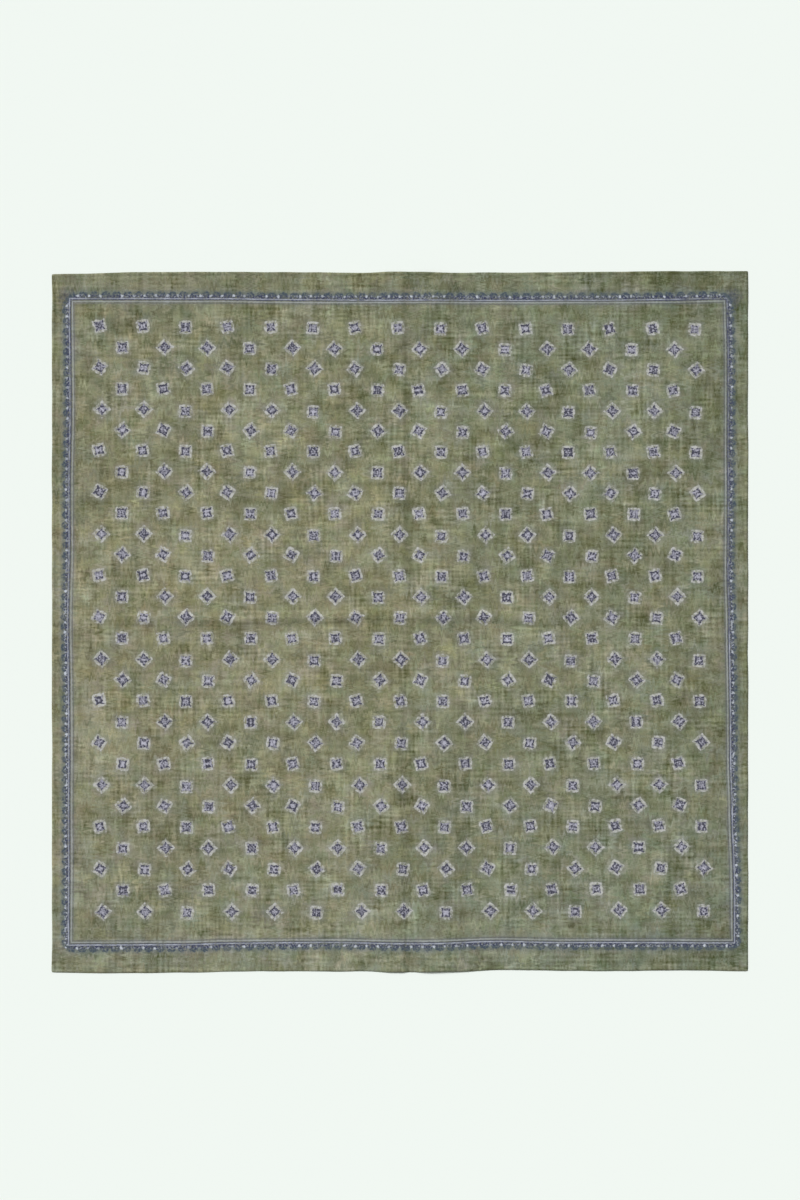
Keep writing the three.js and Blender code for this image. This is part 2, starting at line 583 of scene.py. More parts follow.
@dataclass(frozen=True)
class TossedSquares:
    """The field's print: small squares, set out in staggered rows and each turned its own way.

    The rows run slightly out of true with the cloth, as printing leaves them: each lean gives
    how far, as a start and the shares of u, v, uv, u squared and v squared, which go from -1 to
    1 over the print. A repeat is six rows of three squares. Its chart gives each square's turn
    in degrees, counter-clockwise, and how far it sits right of and above its place.
    """

    map_name: str = "squares"
    column_step: float = 36.84
    row_step: float = 17.94
    columns: int = 15
    rows: int = 29
    lean_across: tuple = (-0.2, 0.0, 2.0, 1.8, -0.3, 0.8)
    lean_down: tuple = (3.4, -0.2, 0.0, 1.0, 0.4, -1.6)
    lean_rounds: int = 6
    chance_turn: float = 3.0
    chance_shift: float = 0.25
    ragged: Grain = Grain(1.9, 1.9, 31, 0.14, 1)
    outer: Edge = Edge(5.82, 0.45)
    bowing: Share = Share(0.007, 0.020)
    inner: Edge = Edge(3.5, 0.35)
    corner_lobe: float = 0.03125
    chance_lobe: float = 0.25
    rough_lobe: float = 0.10
    ring: Edge = Edge(1.9, 1.2)
    ring_cover: float = 0.42
    heart: Edge = Edge(2.2, 1.6)
    heart_cover: Share = Share(-0.15, 0.26)
    figure: Grain = Grain(2.0, 2.0, 33)
    figure_spread: float = 40.0
    figure_cover: Share = Share(0.12, 0.12)
    upright_fading: float = 0.04
    speckle: Grain = Grain(1.4, 1.4, 37)
    navy_cover: Share = Share(0.565, 0.22)
    lilac_cover: float = 0.75
    faded: Grain = Grain(3.0, 3.0, 39, 0.28, 1)
    pale_cover: Share = Share(0.615, 0.10)
    chance_cover: float = 0.06
    bleed_edge: Edge = Edge(6.82, 2.4)
    bleed_cover: float = 0.22
    blue_edge: Edge = Edge(7.82, 3.0)
    bluing: float = 0.10
    pale: Colour = Colour(186, 186, 183)
    navy: Colour = Colour(66, 66, 80)
    lilac: Colour = Colour(182, 181, 200)
    bleed: Colour = Colour(132, 134, 128)
    most_turn: float = 50.0
    most_shift: float = 1.6
    chart: tuple = (
        ((14, -1.1, 0.6), (9, -0.3, 0.6), (-2, -0.4, 0.0)),
        ((-2, 0.1, 0.0), (-42, 0.3, 0.4), (-44, 0.0, 0.3)),
        ((-32, -0.9, 0.6), (-6, 0.4, 0.1), (38, 0.6, 0.3)),
        ((-3, 0.3, 0.1), (12, -1.2, 0.4), (5, -0.2, 0.5)),
        ((-42, 1.1, 0.2), (-44, 0.6, 0.1), (-2, -0.2, -0.9)),
        ((38, 0.9, 0.4), (-28, -0.9, 0.5), (-5, 0.4, -0.5)),
    )

    def coordinates(self, x: Array, y: Array) -> tuple[Array, Array]:
        """Places points by the print's columns and rows, which bow and lean a little.

        Args:
            x: The points' places across the cloth.
            y: Their places down the cloth.

        Returns:
            The column, from 0 at the left, and the row, from 0 at the far edge.
        """
        half_across = self.column_step * (self.columns - 1) / 2
        half_down = self.row_step * (self.rows - 1) / 2
        u, v = x / half_across, -y / half_down
        for _ in range(self.lean_rounds):
            parts = (1.0, u, v, u * v, u * u, v * v)
            lean_x = sum(share * part for share, part in zip(self.lean_across, parts))
            lean_y = sum(share * part for share, part in zip(self.lean_down, parts))
            u, v = (x - lean_x) / half_across, -(y - lean_y) / half_down
        return (u + 1) * (self.columns - 1) / 2, (v + 1) * (self.rows - 1) / 2

    def charted(self, row: Signal, column: Signal) -> tuple[Signal, Signal, Signal]:
        """Looks a square up in the chart.

        Args:
            row: The number of its row.
            column: The number of its place in that row.

        Returns:
            Its turn in radians, and its shift to the right and up.
        """
        graph, wide = row.graph, float(len(self.chart[0]))
        pick = row.through(Op.CYCLE, float(len(self.chart))) * wide + column.through(Op.CYCLE, wide)
        entries = [entry for chart_row in self.chart for entry in chart_row]
        ramp = graph.node("ShaderNodeValToRGB")
        ramp.color_ramp.interpolation = "CONSTANT"
        stops = ramp.color_ramp.elements
        while len(stops) < len(entries):
            stops.new(0.99)
        for number in range(len(entries)):
            stops[number].position = number / len(entries)
        most = (self.most_turn, self.most_shift, self.most_shift)
        for stop, entry in zip(stops, entries):
            stop.color = tuple(0.5 + part / limit / 2 for part, limit in zip(entry, most)) + (1.0,)
        graph.feed(ramp.inputs[0], (pick + 0.5) / len(entries))
        turn, right, up = (part * 2.0 - 1.0 for part in Signal(graph, ramp.outputs[0]).split())
        return turn * math.radians(self.most_turn), right * self.most_shift, up * self.most_shift

    def find(self, place: Signal) -> InSquare:
        """Finds where in the nearest square a point of the cloth is.

        Args:
            place: The place on the cloth, in millimetres.

        Returns:
            Where it is there, the square's luck, and whether a square is printed there.
        """
        graph = place.graph
        column, row = graph.map(self.map_name)
        rising, falling = column + row * 0.5, column - row * 0.5
        near_rising, near_falling = rising.nearest(), falling.nearest()
        row_number, twice_column = near_rising - near_falling, near_rising + near_falling
        luck = graph.chance(graph.join(near_rising, near_falling))
        turn, right, up = self.charted(row_number, (twice_column * 0.5).through(Op.FLOOR))
        turn = turn + luck[0] * math.radians(self.chance_turn)

        off_rising, off_falling = rising - near_rising, falling - near_falling
        across = (off_rising + off_falling) * (self.column_step / 2) - right - luck[1] * self.chance_shift
        upward = (off_falling - off_rising) * self.row_step - up - luck[2] * self.chance_shift
        cosine, sine = turn.through(Op.COSINE), turn.through(Op.SINE)
        side = (across * cosine + upward * sine).size()
        rise = (upward * cosine - across * sine).size()
        return InSquare(
            side=side,
            rise=rise,
            outer=side.larger(rise) + self.ragged.on(place),
            inner=side.smaller(rise),
            upright=(turn * 2.0).through(Op.COSINE),
            luck=luck,
            printed=self.in_range(row_number, self.rows - 1)
            * self.in_range(twice_column, 2 * (self.columns - 1)),
        )

    def draw(self, cloth: Signal, place: Signal, ink: Signal) -> Signal:
        """Prints the squares on the cloth.

        Args:
            cloth: The colour of the cloth below.
            place: The place on the cloth, in millimetres.
            ink: How well the ink covers there, about one.

        Returns:
            The colour with the squares on it.
        """
        graph, at = place.graph, self.find(place)
        turned, shifted, varied = at.luck
        rounded = at.outer + at.inner * at.inner * self.bowing.by(at.upright)
        square = rounded.within(self.outer) * at.printed
        speckle = self.speckle.on(place)
        lobe = at.inner * at.inner * self.corner_lobe + turned * self.chance_lobe
        lobe = lobe + speckle * self.rough_lobe
        frame = (at.outer - lobe).within(self.inner) * at.printed

        seen_x = at.side + turned * self.figure_spread
        seen_y = at.rise + shifted * self.figure_spread
        figure = self.figure.on(graph.join(seen_x, seen_y))
        drawn = figure * self.figure_cover.by(at.upright) - at.upright * self.upright_fading
        centre = (at.side + at.rise).within(self.heart) * self.heart_cover.by(varied)
        cover = at.outer.past(self.ring) * self.ring_cover + centre + drawn + self.navy_cover.by(speckle)
        faded = self.faded.on(place) + self.pale_cover.by(speckle) + varied * self.chance_cover

        bled = rounded.within(self.bleed_edge) * at.printed
        blued = rounded.within(self.blue_edge) * at.printed * self.bluing + 1.0
        inked = graph.mix(cloth.tinted(1.0, 1.0, blued), self.bleed, bled * self.bleed_cover)
        inked = graph.mix(inked, self.pale, square * faded * ink)
        inked = graph.mix(inked, self.lilac, frame * self.lilac_cover)
        return graph.mix(inked, self.navy, frame * cover * ink)

    @staticmethod
    def in_range(number: Signal, last: int) -> Signal:
        """One where a row or column is part of the print."""
        return number.through(Op.OVER, -0.5) * number.graph.sum(Op.OVER, last + 0.5, number)


@dataclass(frozen=True)
class InBorder:
    """Where a point of the cloth is in the border, and how the ink takes there.

    Across is how far it is outside the innermost line, out the same with a wavering edge, and
    turned the same round the border's corners. Crossing is that distance for the other side,
    and from_dot how far along the side the nearest dot is. Beside is one at the left and right.
    """

    place: Signal
    x: Signal
    y: Signal
    across: Signal
    crossing: Signal
    out: Signal
    turned: Signal
    from_dot: Signal
    beside: Signal
    rough: Signal
    fine: Signal
    cover: Signal


@dataclass(frozen=True)
class DottedBorder:
    """The printed border: two pale lines, a navy band and a row of dots between scallops.

    Each line table goes by the place along that side, and gives where the border's innermost
    pale line runs. Lines and edges of the border are placed by the distance from that line
    outwards. The far side is printed a little narrower. The ends are where the outer line is
    fainter or stronger: the edges of that part of the cloth, and by how much.
    """

    map_name: str = "border"
    left: Table = (
        (-300, -283.4), (-200, -283.0), (-100, -282.8), (0, -283.5), (60, -282.5), (120, -282.6),
        (190, -281.7), (300, -282.2),
    )
    right: Table = (
        (-300, 286.3), (-240, 285.8), (-160, 283.7), (-120, 282.7), (-50, 282.1), (0, 281.4),
        (40, 280.6), (220, 280.7), (300, 279.5),
    )
    far: Table = ((-300, 276.1), (-190, 276.3), (-80, 275.5), (150, 275.3), (230, 275.7), (300, 277.0))
    near: Table = (
        (-300, -276.1), (-190, -275.8), (-150, -274.6), (-70, -273.9), (16, -275.0), (85, -273.0),
        (150, -273.9), (300, -274.2),
    )
    waver: Grain = Grain(60.0, 60.0, 41, 0.08)
    rough: Grain = Grain(2.4, 2.4, 43, 1.0, 1)
    rough_out: float = 0.07
    rough_turned: float = 0.22
    rough_dot: float = 0.25
    worn: Grain = Grain(16.0, 16.0, 47, 1.0, 1)
    worn_cover: Share = Share(0.92, 0.08)
    fine: Grain = Grain(1.7, 1.7, 49, 1.0, 1)
    far_half: Edge = Edge(0.0, 60.0)
    corner_far: float = 7.0
    corner_near: float = 2.5

    blue_line: Line = Line(3.5, 7.0, 4.5, 0.16)
    bleed_line: Line = Line(1.0, 3.0, 2.4, 0.30)
    shade_line: Line = Line(-1.3, 0.35, 0.6, 0.60)
    halo_start: Edge = Edge(4.0, 0.5)
    halo_end: Edge = Edge(9.0, 2.2)
    halo_cover: Share = Share(0.62, 0.10)
    smudge_corner: tuple[float, float] = (287.0, 279.5)
    smudge: Edge = Edge(6.5, 5.0)
    smudge_cover: Share = Share(0.42, 0.08)

    band_start: Edge = Edge(1.45, 0.4)
    band_end: Edge = Edge(5.4, 0.9)
    band_cover: Share = Share(0.86, 0.22)
    moss_start: Edge = Edge(5.8, 1.4)
    scallop: float = 3.3
    scallop_half: float = 3.7
    scallop_place: float = 4.6
    corner_fill: Edge = Edge(0.0, 1.0)
    eye_place: float = 6.0
    eye_flatness: float = 0.8
    eye: Edge = Edge(0.9, 1.0)
    eye_cover: Share = Share(0.08, 0.2)
    glint: Grain = Grain(1.6, 1.6, 53)
    smeared: Grain = Grain(22.0, 22.0, 51, 0.3, 1)
    glint_edge: Edge = Edge(1.10, 0.8)
    strewn_line: Line = Line(4.7, 1.3, 1.2)
    strewn_cover: Share = Share(0.36, 0.34)

    far_side: Edge = Edge(270.0, 5.0)
    far_middle: Line = Line(80.0, 130.0, 30.0)
    far_closing: Share = Share(0.225, 0.525)
    near_side: Edge = Edge(-262.0, 5.0)
    right_side: Edge = Edge(268.0, 5.0)
    right_start: Edge = Edge(-150.0, 40.0)
    side_closing: float = 0.4
    inner_line: Line = Line(0.0, 0.42, 0.35)
    inner_cover: Share = Share(0.62, 0.2)
    gap_line: Line = Line(1.45, 0.35, 0.4)
    gap_closing: float = 0.5
    outer_line: Line = Line(2.75, 0.40, 0.35)
    dashes: Grain = Grain(8.0, 8.0, 59, 0.15)
    dash_cover: float = 0.82
    right_ends: tuple[Edge, Edge, float] = (Edge(240.0, 20.0), Edge(0.0, 40.0), 0.50)
    left_ends: tuple[Edge, Edge, float] = (Edge(-240.0, 20.0), Edge(60.0, 60.0), 0.16)
    near_ends: tuple[Edge, float] = (Edge(-240.0, 20.0), 0.14)

    dots_across: int = 30
    dots_down: int = 32
    dot_line: float = 4.95
    dot_edge: Edge = Edge(0.95, 0.6)
    dot_limit: Edge = Edge(8.0, 0.6)
    lit: Grain = Grain(9.0, 9.0, 61)
    lit_cover: Share = Share(0.58, 0.28)

    pale: Colour = Colour(162, 167, 172)
    lilac: Colour = Colour(176, 181, 194)
    bleed: Colour = Colour(122, 125, 118)
    navy: Colour = Colour(56, 60, 86)
    shadow: Colour = Colour(76, 80, 94)
    moss: Colour = Colour(64, 76, 88)
    haze: Colour = Colour(96, 107, 108)
    steel: Colour = Colour(124, 134, 146)
    dot: Colour = Colour(190, 196, 206)

    def coordinates(self, x: Array, y: Array) -> tuple[Array, Array]:
        """Places points by the border.

        Args:
            x: The points' places across the cloth.
            y: Their places down the cloth.

        Returns:
            How far outside the innermost line each point is, sideways and lengthways.
        """
        sideways = np.where(x < 0, eased(self.left, y) - x, x - eased(self.right, y))
        lengthways = np.where(y < 0, eased(self.near, x) - y, y - eased(self.far, x))
        return sideways, lengthways

    def beads(self, place: Signal, outward: Signal, dots: int) -> Signal:
        """Spaces the dots evenly along a side, with one on each corner.

        Args:
            place: The place along the side, from its middle.
            outward: How far outside the crossing side's line that is.
            dots: How many dots there are from the middle to a corner.

        Returns:
            How far along the side the nearest dot is.
        """
        along = place.size()
        pitch = (along - outward + self.dot_line) / float(dots)
        number = along / pitch
        return (number - number.nearest()).size() * pitch

    def find(self, place: Signal, ink: Signal) -> InBorder:
        """Finds where in the border a point of the cloth is.

        Args:
            place: The place on the cloth, in millimetres.
            ink: How well the ink covers there, about one.

        Returns:
            Where it is in the border, and how the ink takes there.
        """
        x, y, _ = place.split()
        sideways, lengthways = place.graph.map(self.map_name)
        across, beside = sideways.larger(lengthways), sideways.through(Op.OVER, lengthways)
        waver, rough = self.waver.on(place), self.rough.on(place)
        from_far = self.beads(x, sideways, self.dots_across)
        from_left = self.beads(y, lengthways, self.dots_down)
        radius = Share(self.corner_near, self.corner_far - self.corner_near).by(y.past(self.far_half))
        over_side, over_end = (sideways + radius).larger(0.0), (lengthways + radius).larger(0.0)
        return InBorder(
            place=place,
            x=x,
            y=y,
            across=across,
            crossing=sideways.smaller(lengthways),
            out=across + waver + rough * self.rough_out,
            turned=over_side.hypot(over_end) - radius + waver + rough * self.rough_turned,
            from_dot=from_far + (from_left - from_far) * beside,
            beside=beside,
            rough=rough,
            fine=self.fine.on(place),
            cover=ink * self.worn_cover.by(self.worn.on(place)),
        )

    def soiled(self, cloth: Signal, at: InBorder) -> Signal:
        """Lets the dye run into the cloth round the band, and smudges the far corners.

        Args:
            cloth: The colour of the cloth below.
            at: Where in the border that is.

        Returns:
            The colour with those on it.
        """
        graph = cloth.graph
        colour = cloth.tinted(1.0, 1.0, at.out.near(self.blue_line) + 1.0)
        for dye, line in ((self.bleed, self.bleed_line), (self.shadow, self.shade_line)):
            colour = graph.mix(colour, dye, at.out.near(line))
        halo = at.turned.past(self.halo_start) * at.turned.within(self.halo_end)
        colour = graph.mix(colour, self.haze, halo * at.cover * self.halo_cover.by(at.fine))
        corner_x, corner_y = self.smudge_corner
        smudge = ((at.x.size() - corner_x).hypot(at.y - corner_y) + at.rough).within(self.smudge)
        return graph.mix(colour, self.navy, smudge * self.smudge_cover.by(at.fine))

    def banded(self, colour: Signal, at: InBorder) -> Signal:
        """Prints the navy band with its scallops, and the pale marks strewn in it.

        Args:
            colour: The colour below.
            at: Where in the border that is.

        Returns:
            The colour with the band on it.
        """
        graph = colour.graph
        between = self.scallop_place - at.from_dot
        arch = (1.0 - between * between / (self.scallop_half**2)).larger(0.0).through(Op.ROOT)
        arch = arch.larger(at.crossing.past(self.corner_fill))
        band = at.out.past(self.band_start) * (at.turned - arch * self.scallop).within(self.band_end)
        dye = graph.mix(self.navy, self.moss, at.turned.past(self.moss_start))
        colour = graph.mix(colour, dye, band * at.cover * self.band_cover.by(at.fine))

        near_beside = at.y.within(self.far_half) * at.beside
        eye = (between * self.eye_flatness).hypot(at.turned - self.eye_place).within(self.eye)
        colour = graph.mix(colour, self.steel, eye * self.eye_cover.by(near_beside))
        glint = (self.glint.on(at.place) - self.smeared.on(at.place)).past(self.glint_edge)
        strewn = at.turned.near(self.strewn_line) * self.strewn_cover.by(near_beside)
        return graph.mix(colour, self.dot, glint * strewn)

    def lined(self, colour: Signal, at: InBorder) -> Signal:
        """Prints the two pale lines, and the dark gap between them.

        The outer line closes in on the inner one where the print is narrower. It is fainter on
        the far parts of the right and left sides, and stronger on the near side.

        Args:
            colour: The colour below.
            at: Where in the border that is.

        Returns:
            The colour with the lines on it.
        """
        graph = colour.graph
        right_side = at.x.past(self.right_side) * at.y.past(self.right_start)
        sides = at.y.within(self.near_side).larger(right_side) * self.side_closing
        closing = at.y.past(self.far_side) * self.far_closing.by(at.x.near(self.far_middle)) + sides
        right, right_far, right_fading = self.right_ends
        left, left_far, left_fading = self.left_ends
        near, near_gain = self.near_ends
        faint = at.x.past(right) * at.y.past(right_far) * right_fading
        faint = faint + at.x.within(left) * at.y.past(left_far) * left_fading
        dash = self.dashes.on(at.place) + (at.y.within(near) * near_gain - faint + self.dash_cover)

        outer = (at.out + closing).near(self.outer_line)
        colour = graph.mix(colour, self.lilac, outer * dash * at.cover)
        gap = (at.out + closing * self.gap_closing).near(self.gap_line)
        colour = graph.mix(colour, self.shadow, gap * at.cover)
        inner = at.out.near(self.inner_line) * at.cover * self.inner_cover.by(dash)
        return graph.mix(colour, self.pale, inner)

    def draw(self, cloth: Signal, place: Signal, ink: Signal) -> Signal:
        """Prints the border on the cloth, and its dots last.

        Args:
            cloth: The colour of the cloth below.
            place: The place on the cloth, in millimetres.
            ink: How well the ink covers there, about one.

        Returns:
            The colour with the border on it.
        """
        at = self.find(place, ink)
        colour = self.lined(self.banded(self.soiled(cloth, at), at), at)
        spot = at.from_dot.hypot(at.across - self.dot_line) + at.rough * self.rough_dot
        dot = spot.within(self.dot_edge) * at.turned.within(self.dot_limit)
        return place.graph.mix(colour, self.dot, dot * self.lit_cover.by(self.lit.on(place)))


@dataclass(frozen=True)
class SlubWeave:
    """Plain weave of uneven yarn, unevenly dyed.

    Thick and thin places in the yarns run both ways as short streaks. The dye lies in patches,
    which end unevenly from yarn to yarn. Each tint gives how much one of a pattern changes the
    red, the green and the blue.
    """

    dark: Colour = Colour(99, 101, 74)
    light: Colour = Colour(148, 149, 124)
    light_share: Share = Share(0.445, 1 / 0.78)
    least_share: float = -0.45
    lift: float = 0.20
    thread: float = 0.56
    thread_drift: Grain = Grain(5.0, 5.0, 8, 0.12)
    thread_tone: float = 0.02
    streak: Grain = Grain(24.0, 2.4, 1, 0.052)
    slub: Grain = Grain(60.0, 3.0, 3, 0.035)
    showing: Grain = Grain(34.0, 34.0, 15, 1.0, 1)
    showing_share: Share = Share(0.9, 0.5)
    tear: Grain = Grain(30.0, 2.0, 21, 1.6)
    patch: Grain = Grain(20.0, 5.0, 5, 0.045, 1)
    blotch: Grain = Grain(14.0, 14.0, 9, 0.086, 1)
    mottle: Grain = Grain(4.5, 4.5, 10, 0.074, 1)
    cloud: Grain = Grain(80.0, 80.0, 7, 0.048, 1)
    cool: Grain = Grain(27.0, 27.0, 12, 1.25, 1)
    fine_cool: Grain = Grain(10.0, 10.0, 11, 1.45, 2)
    rose: Grain = Grain(27.0, 27.0, 14, 0.75, 1)
    fine_rose: Grain = Grain(8.0, 8.0, 13, 0.9, 1)
    cool_tint: tuple[float, float, float] = (-0.0107, -0.0036, 0.0175)
    rose_tint: tuple[float, float, float] = (0.0100, -0.0144, 0.0049)
    dye_name: str = "dye"

    def streaks(self, place: Signal) -> Signal:
        """The yarns' lighter and darker runs, as a share of the cloth's tone."""
        showing = self.showing_share.by(self.showing.on(place))
        return self.streak.both_ways(place) * showing + self.slub.both_ways(place)

    def torn(self, place: Signal) -> Signal:
        """Moves each yarn a little along itself, to the place that the dye there comes from."""
        x, y, _ = place.split()
        return place.graph.join(x + self.tear.on(place), y + self.tear.crossing().on(place))

    def checks(self, place: Signal) -> Signal:
        """Where one yarn passes over the other, from -1 to 1.

        Args:
            place: The place on the cloth, in millimetres.

        Returns:
            Above zero where the yarn across the cloth is on top.
        """
        x, y, _ = place.split()
        pace, drift = math.pi / self.thread, self.thread_drift.on(place)
        return ((x + drift) * pace).through(Op.SINE) * ((y - drift) * pace).through(Op.SINE)

    def colour(self, place: Signal, streaks: Signal, checks: Signal) -> Signal:
        """Dyes the cloth.

        Args:
            place: The place on the cloth, in millimetres.
            streaks: The yarns' change of tone.
            checks: Where one yarn passes over the other.

        Returns:
            The cloth's colour before it is printed.
        """
        graph, source = place.graph, self.torn(place)
        broad_tone, broad_cool, broad_rose = graph.attribute(self.dye_name)
        patches = self.patch.both_ways(source)
        for grain in (self.blotch, self.mottle, self.cloud):
            patches = patches + grain.on(source)
        tone = streaks + patches + broad_tone + checks * self.thread_tone
        share = self.light_share.by(tone + tone * tone * self.lift).larger(self.least_share)
        dyed = graph.mix(self.dark, self.light, share, held=False)
        cool = self.cool.on(source) + self.fine_cool.on(source) + broad_cool
        rose = self.rose.on(source) + self.fine_rose.on(source) + broad_rose
        tints = zip(self.cool_tint, self.rose_tint)
        return dyed.tinted(*(cool * by_cool + rose * by_rose + 1.0 for by_cool, by_rose in tints))


@dataclass(frozen=True)
class PrintedCotton:
    """The scarf's finish: slubbed olive cotton, printed with small squares and a dotted border."""

    name: str = "printed_cotton"
    weave: SlubWeave = field(default_factory=SlubWeave)
    squares: TossedSquares = field(default_factory=TossedSquares)
    border: DottedBorder = field(default_factory=DottedBorder)
    ink_on_streaks: Share = Share(0.9, 1.2)
    ink_on_checks: float = 0.05
    roughness: Share = Share(0.9, -0.3)
    specular: float = 0.25
    sheen: float = 0.12
    sheen_roughness: float = 0.5
    streak_relief: float = 2.0
    check_relief: float = 0.35
    bump_strength: float = 0.6
    thread_relief: float = 0.05

    def material(self) -> bpy.types.Material:
        """Builds the cloth's material.

        Returns:
            The material.
        """
        made = bpy.data.materials.new(self.name)
        made.use_nodes = True
        graph = NodeGraph(made.node_tree)
        feeds = {0: graph.signal("ShaderNodeTexCoord", {}, "Object"), "Scale": 1 / MM}
        place = graph.signal("ShaderNodeVectorMath", feeds, operation="SCALE")

        streaks, checks = self.weave.streaks(place), self.weave.checks(place)
        cloth = self.weave.colour(place, streaks, checks)
        ink = (self.ink_on_streaks.by(streaks) + checks * self.ink_on_checks).smaller(1.0)
        bordered = self.border.draw(cloth, place, ink)
        bump = {
            "Height": streaks * self.streak_relief + checks * self.check_relief,
            "Strength": self.bump_strength,
            "Distance": self.thread_relief * MM,
        }
        shader = {
            "Base Color": self.squares.draw(bordered, place, ink),
            "Roughness": self.roughness.by(streaks),
            "Specular IOR Level": self.specular,
            "Sheen Weight": self.sheen,
            "Sheen Roughness": self.sheen_roughness,
            "Normal": graph.signal("ShaderNodeBump", bump),
        }
        graph.feed_all(made.node_tree.nodes["Principled BSDF"], shader)
        return made


@dataclass
class ScarfCloth:
    """The one piece of cloth: its cut, its rolled hem, and how it lies.

    The shortfalls are how far the far and near edges lie inside half the length. The tone
    across is painted light: the lamp's light falling off from left to right, painted as a
    change of tone. The tone down is a change of tone, darker towards the far edge. Cooling
    goes from warm to blue, and rosiness from green to pink.
    """

    name: str = "scarf_cloth"
    width: float = 600.0
    length: float = 605.2
    thickness: float = 0.4
    hem_width: float = 3.0
    hem_height: float = 0.8
    hem_waver: Pucker = Pucker(17.0, 0.12, 12)
    hem_joining: float = 4.0
    # How much darker the cloth is at the very edge, fading inwards within about a millimetre.
    hem_darkening: float = 0.09
    hem_darkening_width: float = 1.3
    hem_darkening_waver: Pucker = Pucker(24.0, 0.5, 15)
    cut_edge: float = 0.15
    edge_waver: Pucker = Pucker(38.0, 0.12, 9)
    edge_share: float = 0.1
    corner_radius: float = 1.0
    corner_pull: float = 0.3
    corner_power: float = 1.5
    far_shortfall: Table = (
        (-300, 2.6), (-270, 2.3), (-230, 1.0), (-185, 0.8), (-120, 0.8), (-30, 1.4),
        (0, 0.5), (45, 1.6), (90, 1.4), (160, 0.8), (240, 0.2), (300, 0.0),
    )
    near_shortfall: Table = (
        (-300, 1.0), (-270, 0.0), (-230, 0.0), (-185, 0.5), (-120, 1.7), (-30, 1.4),
        (0, 0.8), (45, 1.2), (90, 2.6), (160, 1.8), (240, 2.3), (300, 1.7),
    )
    folds: tuple[FoldMark, ...] = (
        FoldMark(
            run=Run.DOWN,
            shape=FoldShape.TROUGH,
            rise=1.5,
            reach=24.0,
            shade_and_wear=0.12,
            worn=ShadeAndWear(0.10, 0.10, 0.30),
            line=(
                (-300, 1.2), (-185, 0.0), (-130, -1.6), (-80, 0.0), (-20, 0.5),
                (35, 4.0), (80, 2.6), (135, 1.2), (300, 1.0),
            ),
            strength=(
                (-303, 0.9), (-240, 0.95), (-185, 1.1), (-130, 1.15), (-80, 1.0), (-45, 0.65),
                (-20, 0.15), (5, 0.4), (35, 0.85), (60, 1.0), (135, 1.05), (190, 0.9),
                (240, 0.8), (303, 0.8),
            ),
        ),
        FoldMark(
            run=Run.ACROSS,
            shape=FoldShape.RIDGE,
            rise=2.3,
            reach=8.6,
            shade_and_wear=0.04,
            line=((-250, 2.2), (-190, 3.4), (-138, 2.6), (-83, 3.9), (-28, 5.6), (83, 5.2), (120, 4.0)),
            strength=(
                (-300, 0.2), (-250, 0.35), (-222, 0.8), (-138, 1.0), (-83, 0.9), (-28, 1.05),
                (0, 0.7), (28, 0.8), (83, 0.85), (105, 0.1), (118, 0.0),
            ),
        ),
        FoldMark(
            run=Run.ACROSS,
            shape=FoldShape.VALLEY,
            rise=2.2,
            reach=11.0,
            shade_and_wear=0.05,
            line=((100, -4.8), (135, -5.0), (165, -2.0), (200, -1.0)),
            strength=((86, 0.0), (103, 1.1), (128, 1.0), (150, 0.25), (190, 0.15), (250, 0.0)),
        ),
        FoldMark(
            run=Run.ACROSS,
            shape=FoldShape.STEP,
            rise=0.5,
            reach=6.0,
            shade_and_wear=0.05,
            worn=ShadeAndWear(0.2, 0.16, 0.62),
            line=((0, 155.2), (30, 156.0), (60, 155.0)),
            strength=((-4, 0.0), (8, 0.7), (30, 1.0), (50, 0.6), (66, 0.0)),
        ),
    )
    swells: tuple[Swell, ...] = (
        Swell(48, 62, 95, 34, 50, 0.9),
        Swell(225, 215, 80, 46, -40, 1.2),
        Swell(-232, -70, 88, 50, 75, 1.1),
        Swell(-262, 262, 60, 40, 35, 0.9),
        Swell(236, -168, 62, 38, 60, 0.8),
        Swell(-120, 232, 70, 34, -20, 0.6),
        Swell(-110, -225, 76, 36, 25, 0.7),
        Swell(96, -255, 58, 34, -65, 0.7),
    )
    puckers: tuple[Pucker, ...] = (Pucker(30.0, 0.10, 5), Pucker(11.0, 0.03, 6))
    pressed_share: float = 0.35
    free_start: float = -0.15
    free_rise: float = 0.5
    loft: float = 0.14
    settle: float = 0.12
    # Painted light: the cloth is made lighter on the left and darker on the right, in place of the lamp's
    # light falling off across it.
    painted_falloff_across: Table = (
        (-300, 0.03), (-230, 0.06), (-60, 0.06), (-20, 0.02), (60, -0.01), (180, -0.04),
        (240, -0.07), (300, -0.12),
    )
